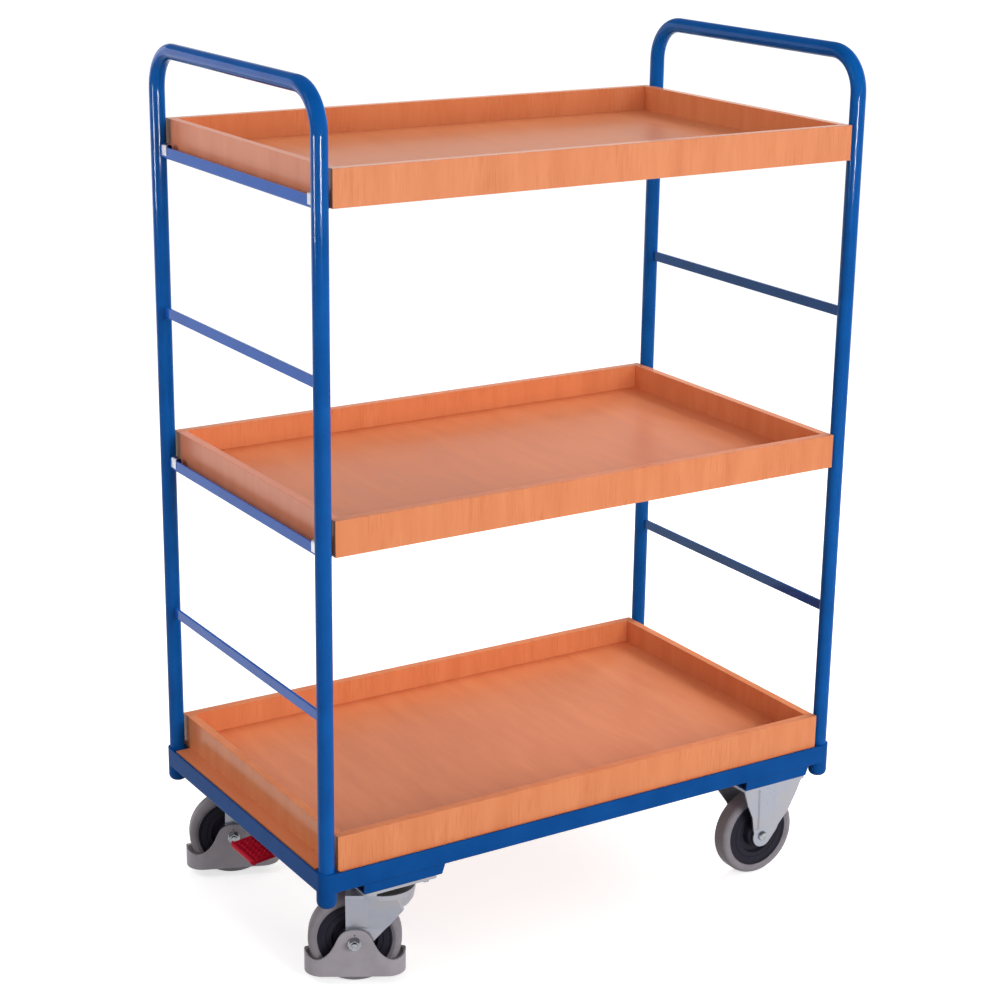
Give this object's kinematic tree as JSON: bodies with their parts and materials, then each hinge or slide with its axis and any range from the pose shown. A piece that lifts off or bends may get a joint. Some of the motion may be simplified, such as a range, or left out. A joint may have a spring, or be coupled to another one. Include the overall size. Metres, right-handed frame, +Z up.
{
  "type": "shelf trolley",
  "caption": "Tall shelf trolley: wooden trays between tubular push bars on a steel base, with swivel and fixed casters and a foot brake at one end.",
  "frame": {"origin": "on the ground under the middle of the trolley", "axes": "+Z up, +X along the length away from the pedal end, +Y from the front to the back"},
  "size_m": [1.068, 0.616, 1.5345],
  "materials": {
    "blue_coat": "glossy blue powder coat",
    "wood_panel": "satin beech decor on panel board",
    "bright_steel": "bright zinc-plated steel",
    "zinc_sheet": "dull zinc-plated pressed sheet",
    "black_seal": "matt black",
    "grey_guard": "satin grey plastic",
    "dark_rim": "dark grey moulded plastic",
    "grey_tyre": "non-marking grey rubber",
    "red_pedal": "red plastic with a grained top"
  },
  "bodies": {
    "chassis": {"front_rail": "blue_coat", "back_rail": "blue_coat", "left_end_rail": "blue_coat", "right_end_rail": "blue_coat", "corner_sockets": "blue_coat", "left_push_bar": "blue_coat", "left_struts": "blue_coat", "left_shelf_rails": "blue_coat", "left_caster_carrier": "blue_coat", "right_push_bar": "blue_coat", "right_struts": "blue_coat", "right_shelf_rails": "blue_coat", "right_caster_carrier": "blue_coat", "bottom_tray_floor": "wood_panel", "bottom_tray_front_board": "wood_panel", "bottom_tray_back_board": "wood_panel", "bottom_tray_left_board": "wood_panel", "bottom_tray_right_board": "wood_panel", "middle_tray_floor": "wood_panel", "middle_tray_front_board": "wood_panel", "middle_tray_back_board": "wood_panel", "middle_tray_left_board": "wood_panel", "middle_tray_right_board": "wood_panel", "top_tray_floor": "wood_panel", "top_tray_front_board": "wood_panel", "top_tray_back_board": "wood_panel", "top_tray_left_board": "wood_panel", "top_tray_right_board": "wood_panel", "deck_panel": "wood_panel", "tray_screws": "bright_steel", "shelf_clips": "bright_steel", "caster_bolts": "bright_steel", "kingpins": "bright_steel", "brake_brackets": "bright_steel", "front_swivel_plate": "zinc_sheet", "front_fixed_fork": "zinc_sheet", "front_fixed_axle": "bright_steel", "back_swivel_plate": "zinc_sheet", "back_fixed_fork": "zinc_sheet", "back_fixed_axle": "bright_steel"},
    "brake": {"brake_shaft": "bright_steel", "brake_pedal": "red_pedal"},
    "front_swivel": {"front_swivel_fork": "zinc_sheet", "front_swivel_seal": "black_seal", "front_foot_guard": "grey_guard", "front_swivel_axle": "bright_steel"},
    "front_swivel_wheel": {"front_swivel_rim": "dark_rim", "front_swivel_tyre": "grey_tyre"},
    "front_fixed_wheel": {"front_fixed_rim": "dark_rim", "front_fixed_tyre": "grey_tyre"},
    "front_plunger": {"front_brake_plunger": "bright_steel"},
    "back_swivel": {"back_swivel_fork": "zinc_sheet", "back_swivel_seal": "black_seal", "back_foot_guard": "grey_guard", "back_swivel_axle": "bright_steel"},
    "back_swivel_wheel": {"back_swivel_rim": "dark_rim", "back_swivel_tyre": "grey_tyre"},
    "back_fixed_wheel": {"back_fixed_rim": "dark_rim", "back_fixed_tyre": "grey_tyre"},
    "back_plunger": {"back_brake_plunger": "bright_steel"}
  },
  "joints": [
    {"name": "front_swivel_turn", "type": "hinge", "parent": "chassis", "child": "front_swivel", "pos_m": [-0.382, -0.2385, 0.19], "axis": [0, 0, 1], "continuous": true},
    {"name": "front_swivel_wheel_spin", "type": "hinge", "parent": "front_swivel", "child": "front_swivel_wheel", "pos_m": [-0.42365, -0.21465, 0.08], "axis": [0.497, 0.8678, 0], "continuous": true},
    {"name": "front_fixed_wheel_spin", "type": "hinge", "parent": "chassis", "child": "front_fixed_wheel", "pos_m": [0.413, -0.2385, 0.08], "axis": [0, 1, 0], "continuous": true},
    {"name": "back_swivel_turn", "type": "hinge", "parent": "chassis", "child": "back_swivel", "pos_m": [-0.382, 0.2385, 0.19], "axis": [0, 0, 1], "continuous": true},
    {"name": "back_swivel_wheel_spin", "type": "hinge", "parent": "back_swivel", "child": "back_swivel_wheel", "pos_m": [-0.42666, 0.25609, 0.08], "axis": [0.3665, 0.9304, 0], "continuous": true},
    {"name": "back_fixed_wheel_spin", "type": "hinge", "parent": "chassis", "child": "back_fixed_wheel", "pos_m": [0.413, 0.2385, 0.08], "axis": [0, 1, 0], "continuous": true},
    {"name": "brake_press", "type": "hinge", "parent": "chassis", "child": "brake", "pos_m": [-0.332, 0, 0.222], "axis": [0, -1, 0], "range_deg": [0, 8]},
    {"name": "front_plunger_slide", "type": "slide", "parent": "front_swivel", "child": "front_plunger", "axis": [0, 0, -1], "range_m": [0, 0.007]},
    {"name": "back_plunger_slide", "type": "slide", "parent": "back_swivel", "child": "back_plunger", "axis": [0, 0, -1], "range_m": [0, 0.007]}
  ],
  "couplings": [
    {"joint": "front_plunger_slide", "follows": "brake_press", "m_per_rad": 0.05},
    {"joint": "back_plunger_slide", "follows": "brake_press", "m_per_rad": 0.05}
  ]
}
